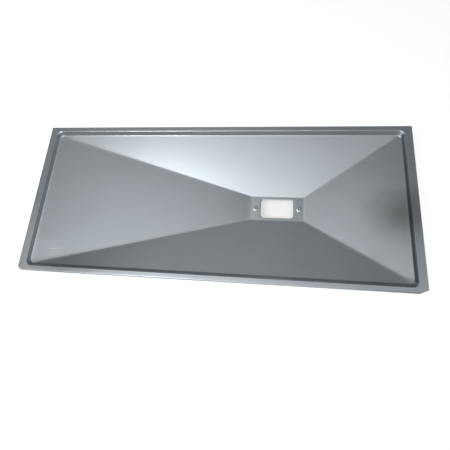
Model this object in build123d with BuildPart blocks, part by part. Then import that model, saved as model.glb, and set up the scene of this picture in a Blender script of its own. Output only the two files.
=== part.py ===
from build123d import *
from math import atan2, degrees
import os

os.makedirs("parts", exist_ok=True)

# A stamped drip pan: +X along its length, +Y to its back, +Z up. The origin is under the middle of the
# pan, level with the bottom of the cup bracket. All sizes are in millimetres.

# Pan: outline and sheet
pan_length = 650.0
pan_depth = 276.0
pan_sheet = 0.8
lip_drop = 9.0                 # front and back lips, from the top of the flange to their lower edge
lip_bend_radius = 2.5
front_left_cut = (6.5, 6.0)    # corner cuts of the flange, along X and along Y
front_right_cut = (13.0, 6.0)
back_cut = (5.0, 1.8)

# Pan: step below the flange
well_length = 625.0
well_depth = 258.0
well_corner_radius = 9.0
step_run = 5.0
step_drop = 7.0
rim_bend_radius = 2.0

# Pan: sump, to the right of the middle, and the drain drawn down through it
sump_below_rim = 44.0
sump_length = 92.0
sump_depth = 44.0
sump_x = 108.5
drain_length = 56.0
drain_depth = 34.0
drain_corner_radius = 6.0
drain_lip_drop = 5.0
drain_bend_radius = 1.6

# Cup bracket: a folded hanger with two rails for a drip cup, and a stop at the back
bracket_sheet = 1.0
bracket_length = 94.0
bracket_depth = 66.0
bracket_height = 16.0
bracket_bend_radius = 2.0
rail_lip = 9.0
window_length = 62.0
window_depth = 40.0
window_corner_radius = 8.0
stop_width = 46.0
stop_drop = 9.0

# Blind rivets: body and broken-off mandrel
rivet_spacing = 76.0
rivet_shank_radius = 2.45
rivet_head_radius = 4.75
rivet_head_height = 1.6
rivet_head_edge = 0.4
rivet_bulb_radius = 3.4
rivet_bulb_drop = 2.2
rivet_tail_drop = 4.6
mandrel_radius = 1.35
mandrel_head_radius = 2.3
mandrel_head_height = 1.8
mandrel_break_depth = {"left": 0.1, "right": 1.9}    # top of each mandrel, below the top of its rivet

# Levels and places that follow from the sizes
sump_top = bracket_height + pan_sheet
rim_top = sump_top + sump_below_rim
face_rise = sump_below_rim - step_drop
step_half_length = well_length / 2 - step_run
step_half_depth = well_depth / 2 - step_run
sump_left = sump_x - sump_length / 2
sump_right = sump_x + sump_length / 2
rivet_x = {"left": sump_x - rivet_spacing / 2, "right": sump_x + rivet_spacing / 2}
pan_right = pan_length / 2
pan_back = pan_depth / 2

# A collar outside the step wall. The wall leans in, and reaches a little below the step, so that it
# meets the sloping faces at every corner.
collar_drop = 1.4 * step_drop
step_lean = degrees(atan2(step_run, step_drop))
with BuildPart() as collar:
    with BuildSketch(Plane.XY.offset(rim_top)):
        Rectangle(2 * pan_length, 2 * pan_depth)
    extrude(amount=-collar_drop)
    with BuildSketch(Plane.XY.offset(rim_top)):
        RectangleRounded(well_length, well_depth, well_corner_radius)
    extrude(amount=-collar_drop, taper=step_lean, mode=Mode.SUBTRACT)

# The space above the sheet: a block cut by the planes of the four sloping faces, then the step and the drain
left_run = step_half_length + sump_left
right_run = step_half_length - sump_right
side_run = step_half_depth - sump_depth / 2
left_face = Plane((sump_left, 0, sump_top), x_dir=(0, 1, 0), z_dir=(face_rise, 0, left_run))
right_face = Plane((sump_right, 0, sump_top), x_dir=(0, 1, 0), z_dir=(-face_rise, 0, right_run))
back_face = Plane((0, sump_depth / 2, sump_top), x_dir=(1, 0, 0), z_dir=(0, -face_rise, side_run))
front_face = Plane((0, -sump_depth / 2, sump_top), x_dir=(1, 0, 0), z_dir=(0, face_rise, side_run))
with BuildPart() as hollow:
    with BuildSketch(Plane.XY.offset(sump_top)):
        Rectangle(2 * pan_length, 2 * pan_depth)
    extrude(amount=sump_below_rim)
    split(bisect_by=left_face)
    split(bisect_by=right_face)
    split(bisect_by=back_face)
    split(bisect_by=front_face)
    add(collar.part, mode=Mode.SUBTRACT)
    with BuildSketch(Plane.XY.offset(sump_top)):
        with Locations((sump_x, 0)):
            RectangleRounded(drain_length, drain_depth, drain_corner_radius)
    extrude(amount=-2 * drain_lip_drop)

# Pan: a block with that space cut from it, its bent edges rounded, then shelled to the sheet. The block
# is open below and at its ends, so the flange is flat at both ends, with a lip at the front and the back.
block_bottom = sump_top - 3 * drain_lip_drop
with BuildPart() as pan:
    with BuildSketch(Plane.XY.offset(block_bottom)):
        with BuildLine():
            Polyline(
                (-pan_right, pan_back - back_cut[1]),
                (-pan_right + back_cut[0], pan_back),
                (pan_right - back_cut[0], pan_back),
                (pan_right, pan_back - back_cut[1]),
                (pan_right, -pan_back + front_right_cut[1]),
                (pan_right - front_right_cut[0], -pan_back),
                (-pan_right + front_left_cut[0], -pan_back),
                (-pan_right, -pan_back + front_left_cut[1]),
                close=True,
            )
        make_face()
    extrude(amount=rim_top - block_bottom)
    add(hollow.part, mode=Mode.SUBTRACT)
    flange = pan.faces().filter_by(Plane.XY).sort_by(Axis.Z)[-1]
    long_edges = flange.outer_wire().edges().filter_by(Axis.X)
    fillet(long_edges, radius=lip_bend_radius)
    flange = pan.faces().filter_by(Plane.XY).sort_by(Axis.Z)[-1]
    fillet(flange.inner_wires()[0].edges(), radius=rim_bend_radius)
    sump = pan.faces().filter_by(Plane.XY).filter_by_position(Axis.Z, sump_top - 1, sump_top + 1)[0]
    fillet(sump.inner_wires()[0].edges(), radius=drain_bend_radius)
    ends = [face for face in pan.faces() if abs(face.center().X) > well_length / 2 + rim_bend_radius]
    bottom = pan.faces().sort_by(Axis.Z)[0]
    offset(amount=-pan_sheet, openings=ends + [bottom], kind=Kind.ARC)
    # The lips and the drain are cut to length.
    with BuildSketch(Plane.XY.offset(block_bottom)):
        with Locations((0, pan_back), (0, -pan_back)):
            Rectangle(pan_length, 4 * lip_bend_radius)
    extrude(amount=rim_top - lip_drop - block_bottom, mode=Mode.SUBTRACT)
    with BuildSketch(Plane.XY.offset(block_bottom)):
        with Locations((sump_x, 0)):
            Rectangle(1.5 * drain_length, 1.5 * drain_depth)
    extrude(amount=sump_top - drain_lip_drop - block_bottom, mode=Mode.SUBTRACT)
    with Locations(*[(x, 0, sump_top) for x in rivet_x.values()]):
        Hole(radius=rivet_shank_radius, depth=pan_sheet)
pan.part.label = "pan"
export_step(pan.part, "parts/pan.step")

# Cup bracket: folded to a C section along Y, with a window round the drain and a stop tab at the back
bracket_back = bracket_depth / 2
stop_left = sump_x - stop_width / 2
with BuildPart() as cup_bracket:
    with BuildSketch(Plane((sump_x, bracket_back, bracket_height / 2), x_dir=(1, 0, 0), z_dir=(0, -1, 0))):
        RectangleRounded(bracket_length, bracket_height, bracket_bend_radius)
        RectangleRounded(
            bracket_length - 2 * bracket_sheet,
            bracket_height - 2 * bracket_sheet,
            bracket_bend_radius - bracket_sheet,
            mode=Mode.SUBTRACT,
        )
        with Locations((0, -bracket_height / 2)):
            Rectangle(bracket_length - 2 * rail_lip, bracket_height / 2, mode=Mode.SUBTRACT)
    extrude(amount=bracket_depth)
    with BuildSketch(Plane.XY.offset(bracket_height)):
        with Locations((sump_x, 0)):
            RectangleRounded(window_length, window_depth, window_corner_radius)
    extrude(amount=-bracket_sheet, mode=Mode.SUBTRACT)
    # The stop tab turns down just behind the section, from the plate.
    with BuildSketch(Plane((stop_left, bracket_back, bracket_height), x_dir=(0, 1, 0), z_dir=(1, 0, 0))):
        with BuildLine():
            Line((0, 0), (0, -bracket_sheet))
            RadiusArc(
                (0, -bracket_sheet),
                (bracket_bend_radius - bracket_sheet, -bracket_bend_radius),
                bracket_bend_radius - bracket_sheet,
            )
            Polyline(
                (bracket_bend_radius - bracket_sheet, -bracket_bend_radius),
                (bracket_bend_radius - bracket_sheet, -stop_drop),
                (bracket_bend_radius, -stop_drop),
                (bracket_bend_radius, -bracket_bend_radius),
            )
            RadiusArc((bracket_bend_radius, -bracket_bend_radius), (0, 0), -bracket_bend_radius)
        make_face()
    extrude(amount=stop_width)
    with Locations(*[(x, 0, bracket_height) for x in rivet_x.values()]):
        Hole(radius=rivet_shank_radius, depth=bracket_sheet)
cup_bracket.part.label = "cup_bracket"
export_step(cup_bracket.part, "parts/cup_bracket.step")

# Rivets. A body is drawn as half a section, radius along X and height along Z, and turned about its axis.
# Its mandrel is a plain stub, with a rounded head that is drawn up against the tail.
grip_bottom = bracket_height - bracket_sheet
rivet_tail = grip_bottom - rivet_tail_drop
rivet_top = sump_top + rivet_head_height
for side, x in rivet_x.items():
    section = Plane((x, 0, 0), x_dir=(1, 0, 0), z_dir=(0, -1, 0))
    mandrel_top = rivet_top - mandrel_break_depth[side]
    with BuildPart() as rivet_body:
        with BuildSketch(section):
            with BuildLine():
                Polyline(
                    (mandrel_radius, rivet_top),
                    (mandrel_radius, rivet_tail),
                    (mandrel_head_radius, rivet_tail),
                    (rivet_shank_radius, grip_bottom - rivet_bulb_drop),
                )
                ThreePointArc(
                    (rivet_shank_radius, grip_bottom - rivet_bulb_drop),
                    (rivet_bulb_radius, grip_bottom - rivet_bulb_drop / 2),
                    (rivet_shank_radius, grip_bottom),
                )
                Polyline(
                    (rivet_shank_radius, grip_bottom),
                    (rivet_shank_radius, sump_top),
                    (rivet_head_radius, sump_top),
                    (rivet_head_radius, sump_top + rivet_head_edge),
                )
                SagittaArc(
                    (rivet_head_radius, sump_top + rivet_head_edge),
                    (mandrel_radius, rivet_top),
                    0.25 * rivet_head_height,
                )
            make_face()
        revolve(axis=Axis((x, 0, 0), (0, 0, 1)))
    rivet_body.part.label = "rivet_body_" + side
    export_step(rivet_body.part, "parts/rivet_body_" + side + ".step")

    with BuildPart() as rivet_mandrel:
        with BuildSketch(Plane.XY.offset(rivet_tail)):
            with Locations((x, 0)):
                Circle(mandrel_radius)
        extrude(amount=mandrel_top - rivet_tail)
        with BuildSketch(Plane.XY.offset(rivet_tail)):
            with Locations((x, 0)):
                Circle(mandrel_head_radius)
        extrude(amount=-mandrel_head_height)
        fillet(rivet_mandrel.edges().group_by(Axis.Z)[0], radius=0.7 * mandrel_head_height)
    rivet_mandrel.part.label = "rivet_mandrel_" + side
    export_step(rivet_mandrel.part, "parts/rivet_mandrel_" + side + ".step")
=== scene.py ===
import math

import bmesh
import bpy
from mathutils import Matrix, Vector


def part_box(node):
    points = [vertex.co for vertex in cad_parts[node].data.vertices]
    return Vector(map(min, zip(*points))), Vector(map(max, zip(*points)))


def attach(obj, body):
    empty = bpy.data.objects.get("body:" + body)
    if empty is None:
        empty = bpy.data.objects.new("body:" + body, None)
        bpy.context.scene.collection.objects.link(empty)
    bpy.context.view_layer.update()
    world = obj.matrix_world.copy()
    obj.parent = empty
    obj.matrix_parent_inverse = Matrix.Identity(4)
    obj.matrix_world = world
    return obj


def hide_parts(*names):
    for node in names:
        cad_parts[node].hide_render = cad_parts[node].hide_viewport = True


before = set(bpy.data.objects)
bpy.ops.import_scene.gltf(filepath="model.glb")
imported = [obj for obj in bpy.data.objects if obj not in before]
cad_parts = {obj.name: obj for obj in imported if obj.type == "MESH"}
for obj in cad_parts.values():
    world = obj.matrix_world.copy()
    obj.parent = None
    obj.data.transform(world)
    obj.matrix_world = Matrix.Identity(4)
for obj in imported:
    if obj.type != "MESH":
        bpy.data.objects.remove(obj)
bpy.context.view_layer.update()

MM = 0.001

# Places taken from the frame. The pan's outline, its rim and the two rivets say where everything is.
pan_low, pan_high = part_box("pan")
left_rivet_low, left_rivet_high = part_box("rivet_body_left")
right_rivet_low, right_rivet_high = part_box("rivet_body_right")
bracket_low, bracket_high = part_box("cup_bracket")
rim_level = pan_high.z
half_length = pan_high.x
half_depth = pan_high.y
rivet_left_x = (left_rivet_low.x + left_rivet_high.x) / 2
rivet_right_x = (right_rivet_low.x + right_rivet_high.x) / 2
sump_x = (rivet_left_x + rivet_right_x) / 2

# Sizes of the stamped sheet, in metres
SHEET = 0.8 * MM
SUMP_LEVEL = bracket_high.z + SHEET
STEP_LEVEL = rim_level - 7 * MM
SUMP_HALF = (46 * MM, 22 * MM)
DRAIN_HALF = (28 * MM, 17 * MM)
DRAIN_CORNER = 6 * MM
DRAIN_LIP = 5 * MM
# The step: its rim and its foot. The walls at the ends are steeper than the long ones.
WELL_ENDS = (-312 * MM, 313 * MM)
STEP_ENDS = (-310.7 * MM, 310.1 * MM)
WELL_SIDE = 129 * MM
STEP_SIDE = 124 * MM
# Corner radii, in plan: of the sump, of the valleys at their top, and of the step's foot and rim
SUMP_CORNER = 2.2 * MM
VALLEY_TOP_CORNER = 5 * MM
FOOT_CORNER = 9 * MM
RIM_CORNER = 9 * MM
SHEARED_EDGE = 0.12 * MM
TOUCHING = 0.02 * MM    # points nearer than this are one point
LIP_DROP = 9 * MM
LIP_BEND = 2.5 * MM
BACK_LIP_BEND = 1.2 * MM
END_BEND_TIGHTER = 0.7    # how far the step's bends keep to a sharp corner at its ends
BRACKET_SHEET = 1 * MM
RIVET_HEAD = 5.1 * MM
RIVET_SHANK = 2.45 * MM
RIVET_BORE = 1.35 * MM
RIVET_EDGE = 0.3 * MM
RIVET_BREAK = 0.1 * MM    # the small bevel under the edge of a rivet's head
BULB_OUT = 0.95 * MM
BULB_DROP = 2.2 * MM
# The front corners are cut off at a slant: how far along X and along Y. The back ones are barely cut.
FRONT_CUT_Y = 6 * MM
FRONT_CUTS = {"left": (6.5 * MM, FRONT_CUT_Y), "right": (13 * MM, FRONT_CUT_Y)}
BACK_CUT = (5 * MM, BACK_LIP_BEND)
FLAT_SHARE = 1 - LIP_BEND / FRONT_CUT_Y    # the part of a front cut that lies on the flat of the flange


class Wire:
    """An output socket. Arithmetic on it adds the Math nodes that work it out."""

    def __init__(self, bench, socket):
        self.bench = bench
        self.socket = socket

    def math(self, operation, *others):
        inputs = dict(enumerate((self, *others)))
        return self.bench.add("ShaderNodeMath", {"operation": operation}, inputs)

    def __add__(self, other):
        return self.math("ADD", other)

    def __sub__(self, other):
        return self.math("SUBTRACT", other)

    def __rsub__(self, other):
        return self.bench.add("ShaderNodeMath", {"operation": "SUBTRACT"}, {0: other, 1: self})

    def __mul__(self, other):
        return self.math("MULTIPLY", other)

    __rmul__ = __mul__

    def __truediv__(self, other):
        return self.math("DIVIDE", other)

    def __rtruediv__(self, other):
        return self.bench.add("ShaderNodeMath", {"operation": "DIVIDE"}, {0: other, 1: self})

    def __neg__(self):
        return 0 - self

    def __abs__(self):
        return self.math("ABSOLUTE")

    def __lt__(self, other):
        return self.math("LESS_THAN", other)

    def __gt__(self, other):
        return self.math("GREATER_THAN", other)

    def clamp(self, low=0.0, high=1.0):
        return self.math("MAXIMUM", low).math("MINIMUM", high)

    def band(self, middle, reach):
        """One where the value is at the middle, fading evenly to nothing at the reach on either side."""
        return (1 - abs(self - middle) / reach).clamp()

    def ramp(self, start, width):
        """Nothing up to the start, rising evenly to one over the width."""
        return ((self - start) / width).clamp()

    def out(self, name):
        """Another output of the node that this one comes from."""
        return Wire(self.bench, self.socket.node.outputs[name])


class Bench:
    """A node tree, emptied, with one method that adds a node of any type to it."""

    def __init__(self, tree):
        self.tree = tree
        tree.nodes.clear()

    def add(self, kind, settings=None, inputs=None):
        node = self.tree.nodes.new(kind)
        for name, value in (settings or {}).items():
            if name == "stops":
                ramp = node.color_ramp.elements
                while len(ramp) < len(value):
                    ramp.new(0.5)
                for stop, (place, shade) in zip(ramp, value):
                    stop.position = place
                    stop.color = (*shade, 1) if isinstance(shade, tuple) else (shade, shade, shade, 1)
            else:
                setattr(node, name, value)
        for name, value in (inputs or {}).items():
            self.feed(node.inputs[name], value)
        outputs = [socket for socket in node.outputs if socket.enabled]
        return Wire(self, outputs[0]) if outputs else node

    def feed(self, socket, value):
        if isinstance(value, Wire):
            self.tree.links.new(value.socket, socket)
        else:
            socket.default_value = value

    def blend(self, factor, a, b):
        """A number between a and b."""
        return self.add("ShaderNodeMix", {"data_type": "FLOAT"}, {0: factor, 2: a, 3: b})

    def tint(self, factor, a, b, how="MIX"):
        """A colour between a and b."""
        return self.add("ShaderNodeMix", {"data_type": "RGBA", "blend_type": how}, {0: factor, 6: a, 7: b})

    def vector(self, x, y, z):
        return self.add("ShaderNodeCombineXYZ", None, {0: x, 1: y, 2: z})


def shape_tree(name, sizes):
    """A geometry tree with a geometry input, then one named number input for each size."""
    tree = bpy.data.node_groups.new(name, "GeometryNodeTree")
    tree.interface.new_socket("Geometry", in_out="INPUT", socket_type="NodeSocketGeometry")
    tree.interface.new_socket("Geometry", in_out="OUTPUT", socket_type="NodeSocketGeometry")
    for title, value in sizes.items():
        kind = "NodeSocketInt" if isinstance(value, int) else "NodeSocketFloat"
        tree.interface.new_socket(title, in_out="INPUT", socket_type=kind).default_value = value
    bench = Bench(tree)
    start = bench.add("NodeGroupInput")
    given = {title: start.out(title) for title in sizes}
    return bench, start.out("Geometry"), given


def close_tree(bench, shape, finish):
    """Ends a geometry tree in real geometry with its finish on it."""
    real = bench.add("GeometryNodeRealizeInstances", None, {"Geometry": shape})
    painted = bench.add("GeometryNodeSetMaterial", None, {"Geometry": real, "Material": finish})
    bench.add("NodeGroupOutput", None, {"Geometry": painted})


def bake(name, start_mesh, bench, sizes, finish):
    """Runs a geometry tree on a mesh and keeps the result as a plain mesh object."""
    host = bpy.data.objects.new(name + "_rule", start_mesh)
    bpy.context.scene.collection.objects.link(host)
    modifier = host.modifiers.new(name, "NODES")
    modifier.node_group = bench.tree
    for item in bench.tree.interface.items_tree:
        if item.in_out == "INPUT" and item.name in sizes:
            modifier[item.identifier] = sizes[item.name]
    depsgraph = bpy.context.evaluated_depsgraph_get()
    mesh = bpy.data.meshes.new_from_object(host.evaluated_get(depsgraph), depsgraph=depsgraph)
    host.modifiers.remove(modifier)
    bpy.data.objects.remove(host)
    mesh.materials.clear()
    mesh.materials.append(finish)
    piece = bpy.data.objects.new(name, mesh)
    bpy.context.scene.collection.objects.link(piece)
    return piece


def turn_outwards(piece):
    """Makes every face of a closed piece point outwards."""
    shape = bmesh.new()
    shape.from_mesh(piece.data)
    bmesh.ops.recalc_face_normals(shape, faces=shape.faces)
    shape.to_mesh(piece.data)
    shape.free()


# Finishes


def metal(name, base, dark, roughness, grain, streak, speckle, marks_and_light=None):
    """A satin sheet metal: a base colour with cloudy variation, rolled grain along X, speckle and fine
    scratches. The function marks_and_light, where given, adds one piece's wear and its painted light and
    shade to it."""
    material = bpy.data.materials.new(name)
    material.use_nodes = True
    bench = Bench(material.node_tree)
    place = bench.add("ShaderNodeTexCoord").out("Object")

    def noise(scale, detail=3.0, stretch=(1, 1, 1), rough=0.5):
        at = bench.add("ShaderNodeMapping", None, {0: place, "Scale": stretch})
        settings = {"Vector": at, "Scale": scale, "Detail": detail, "Roughness": rough}
        return bench.add("ShaderNodeTexNoise", None, settings)

    cloud = noise(7, 4, (1, 1, 1), 0.55)
    smudge = noise(24, 4, (1, 1.6, 1), 0.6)
    rolled = noise(60, 3, (0.12, 9, 9), 0.6)
    fine = noise(1400, 2)
    flecks = noise(420, 2, (1, 1, 1), 0.7)
    fleck_mask = ((flecks - 0.66) * 9).clamp()

    # Hairline scratches: thin bands of a stretched noise, kept only where a second noise is high.
    scratch_lines = None
    for turn in (0.45, -0.8, 1.9):
        settings = {0: place, "Rotation": (0, 0, turn), "Scale": (3, 90, 3)}
        at = bench.add("ShaderNodeMapping", None, settings)
        band = bench.add("ShaderNodeTexNoise", None, {"Vector": at, "Scale": 3.1, "Detail": 1.0})
        line = 1 - (abs(band - 0.5) * 260).clamp()
        where = ((noise(9 + turn, 2) - 0.6) * 7).clamp()
        line = line * where
        scratch_lines = line if scratch_lines is None else scratch_lines.math("MAXIMUM", line)

    shade = ((cloud - 0.5) * 0.9 + (smudge - 0.5) * 0.45 + (rolled - 0.5) * streak + 0.5).clamp()
    colour = bench.tint(shade, (*dark, 1), (*base, 1))
    colour = bench.tint(fleck_mask * speckle, colour, (0.93, 0.95, 0.96, 1))
    colour = bench.tint(scratch_lines * 0.35, colour, (0.95, 0.96, 0.97, 1))
    rough = (smudge - 0.5) * 0.1 + (cloud - 0.5) * 0.08 + (fine - 0.5) * 0.05 + roughness
    rough = rough - scratch_lines * 0.06
    if marks_and_light:
        colour, rough = marks_and_light(bench, place, noise, colour, rough)
    height = fine * grain + rolled * (grain * 0.6) - scratch_lines * (grain * 1.5)
    bump = bench.add("ShaderNodeBump", None, {"Strength": 0.35, "Distance": 0.0002, "Height": height})
    shader = bench.add(
        "ShaderNodeBsdfPrincipled",
        None,
        {"Base Color": colour, "Metallic": 1.0, "Roughness": rough, "Normal": bump},
    )
    bench.add("ShaderNodeOutputMaterial", None, {"Surface": shader})
    return material


DARK_PATCH_MIDDLE = (303 * MM, -12 * MM)
DARK_PATCH_REACH = (70 * MM, 56 * MM)
RUB_MIDDLE = (-272 * MM, -96.4 * MM)
RUB_HALF_LENGTH = 17 * MM
RUB_HALF_WIDTH = 1.3 * MM
RUB_SLOPE = 0.12
DARK_PATCH_TONE = (0.30, 0.305, 0.30, 1)
FOOT_SHADE = (0.17, 0.18, 0.185, 1)
FRONT_LEFT_DARKER_TONE = (0.39, 0.43, 0.45, 1)
PAINTED_HIGHLIGHT = (0.97, 0.98, 1.0, 1)
RUBBED = (0.93, 0.97, 1.0, 1)
FRONT_LEFT_LIGHTER_TONE = (0.91, 0.925, 0.935, 1)
WIPED_SUMP = (0.78, 0.86, 0.88, 1)


def pan_marks_and_light(bench, place, noise, colour, rough):
    """The wear of the pan, and the light and shade painted on it: a darker patch over the step at the right
    end, painted shade in the foot of the step at the front and the right, and a darker tone on the left of
    the front face. The bends of the step at the back carry a painted highlight and are burnished smoother,
    and its wall at the left carries a painted highlight. The sump is cleaner from wiping, the flange round
    the front left corner is lighter, and there is a long faint rub near that corner."""
    parts = bench.add("ShaderNodeSeparateXYZ", None, {0: place})
    x, y, z = parts.out("X"), parts.out("Y"), parts.out("Z")

    # A darker patch over the step at the right end, with an uneven edge.
    patch_x, patch_y = (x - DARK_PATCH_MIDDLE[0]) / DARK_PATCH_REACH[0], (y - DARK_PATCH_MIDDLE[1]) / DARK_PATCH_REACH[1]
    reach = (patch_x * patch_x + patch_y * patch_y).math("SQRT") + (noise(30, 3) - 0.5) * 0.5
    dark_patch = bench.add(
        "ShaderNodeMapRange",
        {"interpolation_type": "SMOOTHSTEP"},
        {0: reach, 1: 1.0, 2: 0.0, 3: 0.0, 4: 0.8},
    )
    below_rim = ((rim_level - z) / (3 * MM)).clamp()
    colour = bench.tint(dark_patch * (below_rim * 0.1 + 0.9), colour, DARK_PATCH_TONE)

    along = (x - RUB_MIDDLE[0]) / RUB_HALF_LENGTH
    across = (y - RUB_MIDDLE[1] - (x - RUB_MIDDLE[0]) * RUB_SLOPE) / RUB_HALF_WIDTH
    rub = (1 - along * along).clamp() * (1 - across * across).clamp()
    colour = bench.tint(rub * 0.5, colour, RUBBED)

    # Painted shade: the foot and wall of the step at the front and the right are darkened.
    front_wall_shade = (-y).band(STEP_SIDE + 1.5 * MM, 3.2 * MM) * 0.45
    right_wall_shade = x.band(STEP_ENDS[1] + 1.2 * MM, 2.6 * MM) * 0.8
    foot = front_wall_shade.math("MAXIMUM", right_wall_shade) * below_rim
    colour = bench.tint(foot, colour, FOOT_SHADE)

    # Painted highlight: bright lines along the bends of the step at the back, which are also burnished to a
    # lower roughness.
    at_rim = y.band(WELL_SIDE - 0.3 * MM, 1.3 * MM)
    at_foot = y.band(STEP_SIDE + 0.3 * MM, 1.3 * MM)
    burnish_and_highlight = at_rim.math("MAXIMUM", at_foot) * (1 - (abs(x) > WELL_ENDS[1]))
    colour = bench.tint(burnish_and_highlight * 0.9, colour, PAINTED_HIGHLIGHT)

    # Darker on the left of the front face, ahead of the valley.
    sump_left = sump_x - SUMP_HALF[0]
    valley_slope = (STEP_SIDE - SUMP_HALF[1]) / (sump_left - STEP_ENDS[0])
    before_valley = (((x - sump_left) * valley_slope - SUMP_HALF[1] - y) / (4 * MM)).clamp()
    front_left_darker = before_valley * (-x).ramp(100 * MM, 160 * MM)
    colour = bench.tint(front_left_darker * 0.6, colour, FRONT_LEFT_DARKER_TONE)

    # Lighter on the flange round the front left corner.
    front_left_lighter = (-y).ramp(10 * MM, 50 * MM) * (-x).ramp(250 * MM, 60 * MM) * (1 - below_rim)
    colour = bench.tint(front_left_lighter * 0.75, colour, FRONT_LEFT_LIGHTER_TONE)
    # Painted highlight: the upper part of the step's wall at the left end is painted lighter.
    left_wall_highlight = (-x).ramp(-STEP_ENDS[0] - 0.3 * MM, 0.3 * MM) * below_rim * z.ramp(STEP_LEVEL, 2 * MM)
    colour = bench.tint(left_wall_highlight * 0.9, colour, PAINTED_HIGHLIGHT)
    in_sump = (-z).ramp(-SUMP_LEVEL - 1 * MM, 1 * MM)
    colour = bench.tint(in_sump * 0.6, colour, WIPED_SUMP)
    return colour, rough - burnish_and_highlight * 0.13


def rivet_bore_shade(bench, place, noise, colour, rough):
    """The bore of a rivet is painted near black: painted shade in the hole."""
    parts = bench.add("ShaderNodeSeparateXYZ", None, {0: place})
    off_x = abs(parts.out("X") - sump_x) - (rivet_right_x - rivet_left_x) / 2
    off_y = parts.out("Y")
    reach = (off_x * off_x + off_y * off_y).math("SQRT")
    # Painted shade: the bore is painted near black.
    bore = ((RIVET_BORE * 1.12 - reach) / (0.15 * MM)).clamp()
    return bench.tint(bore, colour, (0.05, 0.05, 0.055, 1)), rough


pan_finish = metal(
    "satin_pan_sheet", (0.70, 0.755, 0.80), (0.60, 0.655, 0.70), 0.37, 1.0, 0.25, 0.25, pan_marks_and_light
)
bracket_finish = metal("zinc_bracket_sheet", (0.62, 0.64, 0.66), (0.45, 0.47, 0.49), 0.42, 1.2, 0.5, 0.1)
rivet_finish = metal(
    "bright_rivet", (0.95, 0.96, 0.97), (0.85, 0.86, 0.88), 0.23, 0.3, 0.1, 0.1, rivet_bore_shade
)
mandrel_finish = metal("steel_mandrel", (0.32, 0.32, 0.33), (0.2, 0.2, 0.21), 0.45, 1.0, 0.3, 0.0)


# Swept sections. A section is a row of rings: each ring is a rounded rectangle, level all round, and the
# surface runs from ring to ring.

HOLD = 0.006
RING = ("left", "right", "side", "corner", "cut")


def section_mesh(name, rings):
    """A polyline with a point for each ring: its height is the ring's level, its attributes are the ring's
    plan."""
    mesh = bpy.data.meshes.new(name)
    mesh.from_pydata([(0, 0, ring[-1]) for ring in rings], [(i, i + 1) for i in range(len(rings) - 1)], [])
    for k, title in enumerate(RING):
        attribute = mesh.attributes.new(title, "FLOAT", "POINT")
        attribute.data.foreach_set("value", [ring[k] for ring in rings])
    return mesh


def between(a, b, t):
    return tuple(p + (q - p) * t for p, q in zip(a, b))


def run_shares(count):
    """Where the inner rings of a straight run lie: evenly, and one close to each end to keep bends crisp."""
    even = [i / count for i in range(1, count)]
    return [HOLD] + even + [1 - HOLD] if count > 2 else even


def unbent(start, station, end, level):
    """The place at a level on the straight runs from start to station to end."""
    if level <= station[-1]:
        return between(start, station, (level - start[-1]) / (station[-1] - start[-1]))
    return between(station, end, (level - station[-1]) / (end[-1] - station[-1]))


def bent_section(stations, bends, runs):
    """Joins the stations by straight runs, and rounds each inner one over its shares of the two runs."""
    rings = []
    for k, station in enumerate(stations):
        if 0 < k < len(stations) - 1:
            before, after, steps = bends[k - 1]
            start = between(station, stations[k - 1], before)
            end = between(station, stations[k + 1], after)
            for i in range(steps + 1):
                t = i / steps
                ring = between(between(start, station, t), between(station, end, t), t)
                if k >= len(stations) - 3:
                    # The bends of the step are tighter at its ends, where the runs keep nearly straight.
                    sharp = unbent(start, station, end, ring[-1])
                    ring = (*between(ring[:2], sharp[:2], END_BEND_TIGHTER), *ring[2:])
                rings.append(ring)
        else:
            rings.append(station)
        if k < len(stations) - 1:
            reach_from = rings[-1]
            last = k == len(stations) - 2
            reach_to = stations[k + 1] if last else between(stations[k + 1], station, bends[k][0])
            for share in run_shares(runs[k]):
                rings.append(between(reach_from, reach_to, share))
    return rings


def sweep(bench, section, ring_count, arc_steps, side_steps, cuts):
    """The surface through the rings of a section. The points go round each ring from its right side: an
    arc at each corner, then a straight side. Cuts are the slanted corners of the rings marked as cut."""
    quarter = arc_steps + side_steps
    around = quarter * 4 + 1
    grid = bench.add("GeometryNodeMeshGrid", None, {"Vertices X": ring_count, "Vertices Y": around})
    index = bench.add("GeometryNodeInputIndex")
    ring = ((index + 0.5) / around).math("FLOOR")
    step = index - ring * around

    def at_ring(value):
        inputs = {"Geometry": section, "Value": value, "Index": ring}
        return bench.add("GeometryNodeSampleIndex", {"data_type": "FLOAT"}, inputs)

    def attribute(title):
        return bench.add("GeometryNodeInputNamedAttribute", {"data_type": "FLOAT"}, {"Name": title})

    left, right, side, corner, cut = [at_ring(attribute(title)) for title in RING]
    spot = bench.add("GeometryNodeInputPosition")
    level = at_ring(bench.add("ShaderNodeSeparateXYZ", None, {0: spot}).out("Z"))

    quadrant = ((step + 0.5) / quarter).math("FLOOR").math("MINIMUM", 3)
    part = step - quadrant * quarter
    turn = (quadrant + (part / arc_steps).clamp()) * (math.pi / 2)
    travel = quadrant + ((part - arc_steps) / side_steps).clamp()
    to_left = travel.clamp() - (travel - 2).clamp()
    to_front = (travel - 1).clamp() - (travel - 3).clamp()
    out_x = turn.math("COSINE")
    out_y = turn.math("SINE")
    flat = bench.blend(cut, 1, 1 / (abs(out_x) + abs(out_y)))
    out_x = out_x * flat
    out_y = out_y * flat

    def corner_size(axis):
        back = bench.blend(to_left, cuts["right_back"][axis], cuts["left_back"][axis])
        front = bench.blend(to_left, cuts["right_front"][axis], cuts["left_front"][axis])
        return bench.blend(cut, corner, bench.blend(to_front, back, front))

    size_x, size_y = corner_size(0), corner_size(1)
    x = bench.blend(to_left, right - size_x, left + size_x) + out_x * size_x
    y = bench.blend(to_front, side - size_y, size_y - side) + out_y * size_y
    place = bench.vector(x, y, level)
    return bench.add("GeometryNodeSetPosition", None, {"Geometry": grid, "Position": place})


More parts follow.
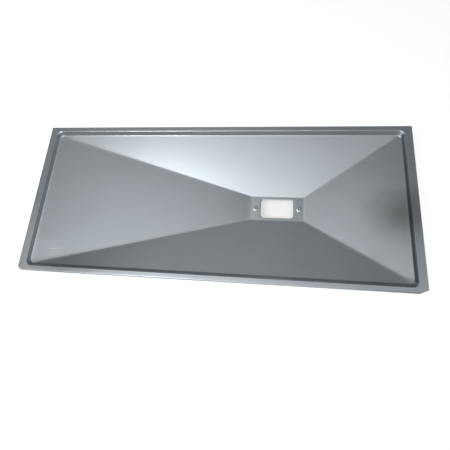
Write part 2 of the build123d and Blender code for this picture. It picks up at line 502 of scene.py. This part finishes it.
def build_pan():
    """The stamped pan, as the upper side of its sheet. The thickness is added below it afterwards."""
    sizes = {
        "Half Depth": half_depth,
        "Half Length": half_length,
        "Lip Bend": LIP_BEND,
        "Lip Drop": LIP_DROP,
        "Wave Height": 0.35 * MM,
        "Wave Scale": 5.0,
    }
    bench, section, given = shape_tree("stamped_pan", sizes)
    edge_side = half_depth - LIP_BEND
    left, right = sump_x - DRAIN_HALF[0], sump_x + DRAIN_HALF[0]
    drain = (left, right, DRAIN_HALF[1], DRAIN_CORNER, 0)
    sump = (sump_x - SUMP_HALF[0], sump_x + SUMP_HALF[0], SUMP_HALF[1], SUMP_CORNER, 0)
    stations = [
        (*drain, SUMP_LEVEL - DRAIN_LIP),
        (*drain, SUMP_LEVEL),
        (*sump, SUMP_LEVEL),
        (*STEP_ENDS, STEP_SIDE, FOOT_CORNER, 0, STEP_LEVEL),
        (*WELL_ENDS, WELL_SIDE, RIM_CORNER, 0, rim_level),
        (-half_length, half_length, edge_side, 0, 1, rim_level),
    ]
    bends = [(0.32, 0.09, 6), (0.12, 0.008, 6), (0.008, 0.1, 6), (0.17, 0.1, 8)]
    runs = [2, 2, 16, 2, 3]
    rings = bent_section(stations, bends, runs)
    # The valleys are crisper than the corners of the step that they run up to.
    for k, (*plan, corner, cut, level) in enumerate(rings):
        climb = (level - SUMP_LEVEL) / (STEP_LEVEL - SUMP_LEVEL)
        if 0.01 < climb < 0.96:
            corner = SUMP_CORNER + (VALLEY_TOP_CORNER - SUMP_CORNER) * climb
        rings[k] = (*plan, corner, cut, level)
    tiny = 0.01 * MM
    cuts = {"right_back": (tiny, tiny), "left_back": (tiny, tiny)}
    for side, cut in FRONT_CUTS.items():
        cuts[side + "_front"] = tuple(size * FLAT_SHARE for size in cut)
    sheet = sweep(bench, section, len(rings), 10, 30, cuts)
    sheet = bench.add("GeometryNodeMergeByDistance", None, {"Geometry": sheet, "Distance": TOUCHING})

    # Pressed sheet is never quite flat: the sloping faces wave a little, less and less towards their ends.
    spot = bench.add("GeometryNodeInputPosition")
    parts = bench.add("ShaderNodeSeparateXYZ", None, {0: spot})
    spot_y, spot_z = parts.out("Y"), parts.out("Z")
    climb = (spot_z - SUMP_LEVEL) / (STEP_LEVEL - SUMP_LEVEL)
    loose = (climb * 6).clamp() * ((1 - climb) * 6).clamp()
    settings = {"Vector": spot, "Scale": given["Wave Scale"], "Detail": 1.0}
    wave = bench.add("ShaderNodeTexNoise", None, settings)
    lift = bench.vector(0, 0, (wave - 0.5) * loose * given["Wave Height"])
    sheet = bench.add("GeometryNodeSetPosition", None, {"Geometry": sheet, "Offset": lift})

    # The lips turn down along the front and back edges of the flange. The back one has the tighter bend.
    to_back = spot_y > 0
    lip_bend = bench.blend(to_back, given["Lip Bend"], BACK_LIP_BEND)
    at_flange_edge = abs(abs(spot_y) - edge_side) < TOUCHING
    further = bench.vector(0, (given["Lip Bend"] - BACK_LIP_BEND) * to_back, 0)
    inputs = {"Geometry": sheet, "Selection": at_flange_edge, "Offset": further}
    sheet = bench.add("GeometryNodeSetPosition", None, inputs)
    edge_line = given["Half Depth"] - lip_bend
    at_edge = abs(abs(spot_y) - edge_line) < TOUCHING
    alone = bench.add("GeometryNodeInputMeshEdgeNeighbors")
    boundary = abs(alone - 1) < 0.5
    mark = at_edge * boundary
    outward = spot_y.math("SIGN")
    turns = 6
    steps = []
    for k in range(turns):
        a, b = k / turns * math.pi / 2, (k + 1) / turns * math.pi / 2
        rise = lip_bend * (math.cos(b) - math.cos(a))
        steps.append(bench.vector(0, outward * lip_bend * (math.sin(b) - math.sin(a)), rise))
    steps.append(bench.vector(0, 0, lip_bend - given["Lip Drop"]))
    for step in steps:
        inputs = {"Mesh": sheet, "Selection": mark, "Offset": step, "Offset Scale": 1.0}
        lip = bench.add("GeometryNodeExtrudeMesh", {"mode": "EDGES"}, inputs)
        sheet, mark = lip.out("Mesh"), lip.out("Top")

    # The slanted corner cuts go on through the lips.
    spot_x = parts.out("X")
    to_right = spot_x > 0
    deep = abs(spot_y)

    def corner_limit(cut):
        return given["Half Length"] - cut[0] * ((deep - given["Half Depth"] + cut[1]) / cut[1]).clamp()

    front_left, front_right = corner_limit(FRONT_CUTS["left"]), corner_limit(FRONT_CUTS["right"])
    limit = bench.blend(to_back, bench.blend(to_right, front_left, front_right), corner_limit(BACK_CUT))
    trimmed = abs(spot_x).math("MINIMUM", limit) * spot_x.math("SIGN")
    place = bench.vector(trimmed, spot_y, spot_z)
    sheet = bench.add("GeometryNodeSetPosition", None, {"Geometry": sheet, "Position": place})

    smooth = bench.add("GeometryNodeSetShadeSmooth", None, {"Geometry": sheet})
    close_tree(bench, smooth, pan_finish)
    piece = bake("pan_sheet", section_mesh("pan_section", rings), bench, sizes, pan_finish)
    wall = piece.modifiers.new("sheet", "SOLIDIFY")
    wall.thickness = SHEET
    wall.offset = -1
    wall.use_even_offset = True
    sheared = piece.modifiers.new("sheared_edges", "BEVEL")
    sheared.width = SHEARED_EDGE
    sheared.segments = 2
    sheared.limit_method = "ANGLE"
    sheared.angle_limit = math.radians(60)
    sheared.harden_normals = True
    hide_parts("pan")
    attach(piece, "root")


def round_section(points):
    """Rings of a turned piece: each (radius, height) becomes a circle about the middle."""
    return [(-r, r, r, r, 0, z) for r, z in points]


def dome(outer, inner, rise, steps):
    """A rivet head's top, from its outer edge up and in to the bore: steep at the edge, flatter inside."""
    points = []
    for i in range(steps + 1):
        a = i / steps * math.pi / 2 * 0.94
        points.append((inner + (outer - inner) * math.cos(a) ** 0.95, rise * math.sin(a)))
    return points


def build_rivets():
    """The two blind rivets, turned from one section and set at an even spacing."""
    top = left_rivet_high.z - SUMP_LEVEL
    tail = left_rivet_low.z - SUMP_LEVEL
    grip = -SHEET - BRACKET_SHEET
    bore_edge = 0.15 * MM
    head = [(RIVET_HEAD - RIVET_BREAK, 0), (RIVET_HEAD, 0.8 * RIVET_BREAK), (RIVET_HEAD, RIVET_EDGE)]
    rise = dome(RIVET_HEAD, RIVET_BORE + bore_edge, top - RIVET_EDGE, 12)
    head += [(r, RIVET_EDGE + z) for r, z in rise[1:]]
    shank = [(RIVET_BORE, top - bore_edge), (RIVET_BORE, tail), (RIVET_BORE + 0.9 * MM, tail)]
    bulb = []
    for i in range(9):
        out = BULB_OUT * math.sin(math.pi * i / 8)
        bulb.append((RIVET_SHANK + out, grip - BULB_DROP * (1 - i / 8)))
    closing = [(RIVET_SHANK, 0), (RIVET_HEAD - RIVET_BREAK, 0)]
    rings = round_section(head + shank + bulb + closing)
    spacing = rivet_right_x - rivet_left_x
    sizes = {"Left X": rivet_left_x, "Spacing": spacing, "Count": 2, "Height": SUMP_LEVEL}
    bench, section, given = shape_tree("blind_rivets", sizes)
    none = {name: (0, 0) for name in ("right_back", "left_back", "right_front", "left_front")}
    turned = sweep(bench, section, len(rings), 12, 1, none)
    turned = bench.add("GeometryNodeMergeByDistance", None, {"Geometry": turned, "Distance": 0.005 * MM})
    turned = bench.add("GeometryNodeSetShadeSmooth", None, {"Geometry": turned})
    places = bench.add(
        "GeometryNodeMeshLine",
        {"mode": "OFFSET", "count_mode": "TOTAL"},
        {
            "Count": given["Count"],
            "Start Location": bench.vector(given["Left X"], 0, given["Height"]),
            "Offset": bench.vector(given["Spacing"], 0, 0),
        },
    )
    rivets = bench.add("GeometryNodeInstanceOnPoints", None, {"Points": places, "Instance": turned})
    close_tree(bench, rivets, rivet_finish)
    piece = bake("blind_rivets", section_mesh("rivet_section", rings), bench, sizes, rivet_finish)
    turn_outwards(piece)
    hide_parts("rivet_body_left", "rivet_body_right")
    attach(piece, "root")


build_pan()
build_rivets()

for name, finish in (
    ("cup_bracket", bracket_finish),
    ("rivet_mandrel_left", mandrel_finish),
    ("rivet_mandrel_right", mandrel_finish),
):
    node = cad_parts[name]
    node.data.materials.clear()
    node.data.materials.append(finish)


# Floor, light and camera


def build_floor():
    """A pale floor, lit a little from within like a light table, and glowing less under the pan, as a
    painted shadow.
    """
    material = bpy.data.materials.new("white_floor")
    material.use_nodes = True
    bench = Bench(material.node_tree)
    place = bench.add("ShaderNodeTexCoord").out("Object")
    parts = bench.add("ShaderNodeSeparateXYZ", None, {0: place})
    inset = 25 * MM
    beside = (half_length - inset - abs(parts.out("X"))) / inset
    before = (half_depth - inset - abs(parts.out("Y"))) / inset
    # Painted shadow: the floor's glow is dimmer under the pan.
    under = beside.math("MINIMUM", before).clamp()
    glow = bench.tint(under, (0.67, 0.67, 0.67, 1), (0.42, 0.41, 0.4, 1))
    settings = {"Base Color": (0.9, 0.9, 0.9, 1), "Roughness": 0.9, "Emission Color": glow}
    settings["Emission Strength"] = 1.0
    shader = bench.add("ShaderNodeBsdfPrincipled", None, settings)
    bench.add("ShaderNodeOutputMaterial", None, {"Surface": shader})
    mesh = bpy.data.meshes.new("floor")
    reach = 6.0
    corners = [(-reach, -reach, 0), (reach, -reach, 0), (reach, reach, 0), (-reach, reach, 0)]
    mesh.from_pydata(corners, [], [(0, 1, 2, 3)])
    mesh.materials.append(material)
    floor = bpy.data.objects.new("floor", mesh)
    bpy.context.scene.collection.objects.link(floor)


def build_sky():
    """A dim room, darkest near the floor and overhead, and a little lighter in front. The backdrop that
    the camera sees is pale."""
    world = bpy.data.worlds.new("studio")
    bpy.context.scene.world = world
    world.use_nodes = True
    bench = Bench(world.node_tree)
    look = bench.add("ShaderNodeTexCoord").out("Generated")
    parts = bench.add("ShaderNodeSeparateXYZ", None, {0: look})
    high, deep = parts.out("Z"), parts.out("Y")
    stops = [(0.0, 0.02), (0.3, 0.06), (0.5, 0.16), (0.64, 0.26), (0.78, 0.2), (0.95, 0.1)]
    room = bench.add("ShaderNodeValToRGB", {"stops": stops}, {"Fac": high})
    front = (-deep * 2 - 0.6).clamp() * (1 - (abs(high - 0.25) * 3).clamp())
    tint = bench.tint(1.0, room, bench.tint(front, (0, 0, 0, 1), (0.16, 0.16, 0.16, 1)), "ADD")
    tint = bench.tint(1.0, tint, (0.95, 0.98, 1.0, 1), "MULTIPLY")
    seen = bench.add("ShaderNodeLightPath").out("Is Camera Ray")
    shown = bench.tint(seen, tint, (0.86, 0.87, 0.88, 1))
    backdrop = bench.add("ShaderNodeBackground", None, {"Color": shown, "Strength": 1.0})
    bench.add("ShaderNodeOutputWorld", None, {"Surface": backdrop})


SOFTBOXES = (
    # name, centre over the pan, length along X and depth along Y, power
    ("main_softbox", (-0.55, -0.5), (0.45, 0.42), 3.84),
    ("side_softbox", (0.05, -0.5), (0.75, 0.42), 1.64),
    ("top_scrim", (0.125, -0.1), (1.8, 0.42), 1.04),
    ("left_scrim", (-0.325, 0.3), (0.9, 0.42), 0.66),
    ("back_scrim", (-0.35, 1.2), (1.7, 0.6), 0.65),
)
SOFTBOX_HEIGHT = 1.06


def build_studio():
    build_floor()
    build_sky()
    for name, (x, y), size, power in SOFTBOXES:
        light = bpy.data.lights.new(name, "AREA")
        light.shape = "RECTANGLE"
        light.size, light.size_y = size
        light.energy = power
        lamp = bpy.data.objects.new(name, light)
        lamp.location = (x, y, SOFTBOX_HEIGHT)
        bpy.context.scene.collection.objects.link(lamp)
    bpy.context.scene.view_settings.view_transform = "Standard"


def build_camera():
    data = bpy.data.cameras.new("camera")
    data.sensor_width = 36
    data.lens = 24.92
    camera = bpy.data.objects.new("camera", data)
    right, up, back = (0.9908, 0.0713, -0.1149), (-0.0364, 0.9589, 0.2812), (0.1303, -0.2745, 0.9527)
    turn = Matrix((right, up, back)).transposed()
    camera.matrix_world = Matrix.Translation((0.0904, -0.1853, 0.5444)) @ turn.to_4x4()
    bpy.context.scene.collection.objects.link(camera)
    bpy.context.scene.camera = camera


build_studio()
build_camera()
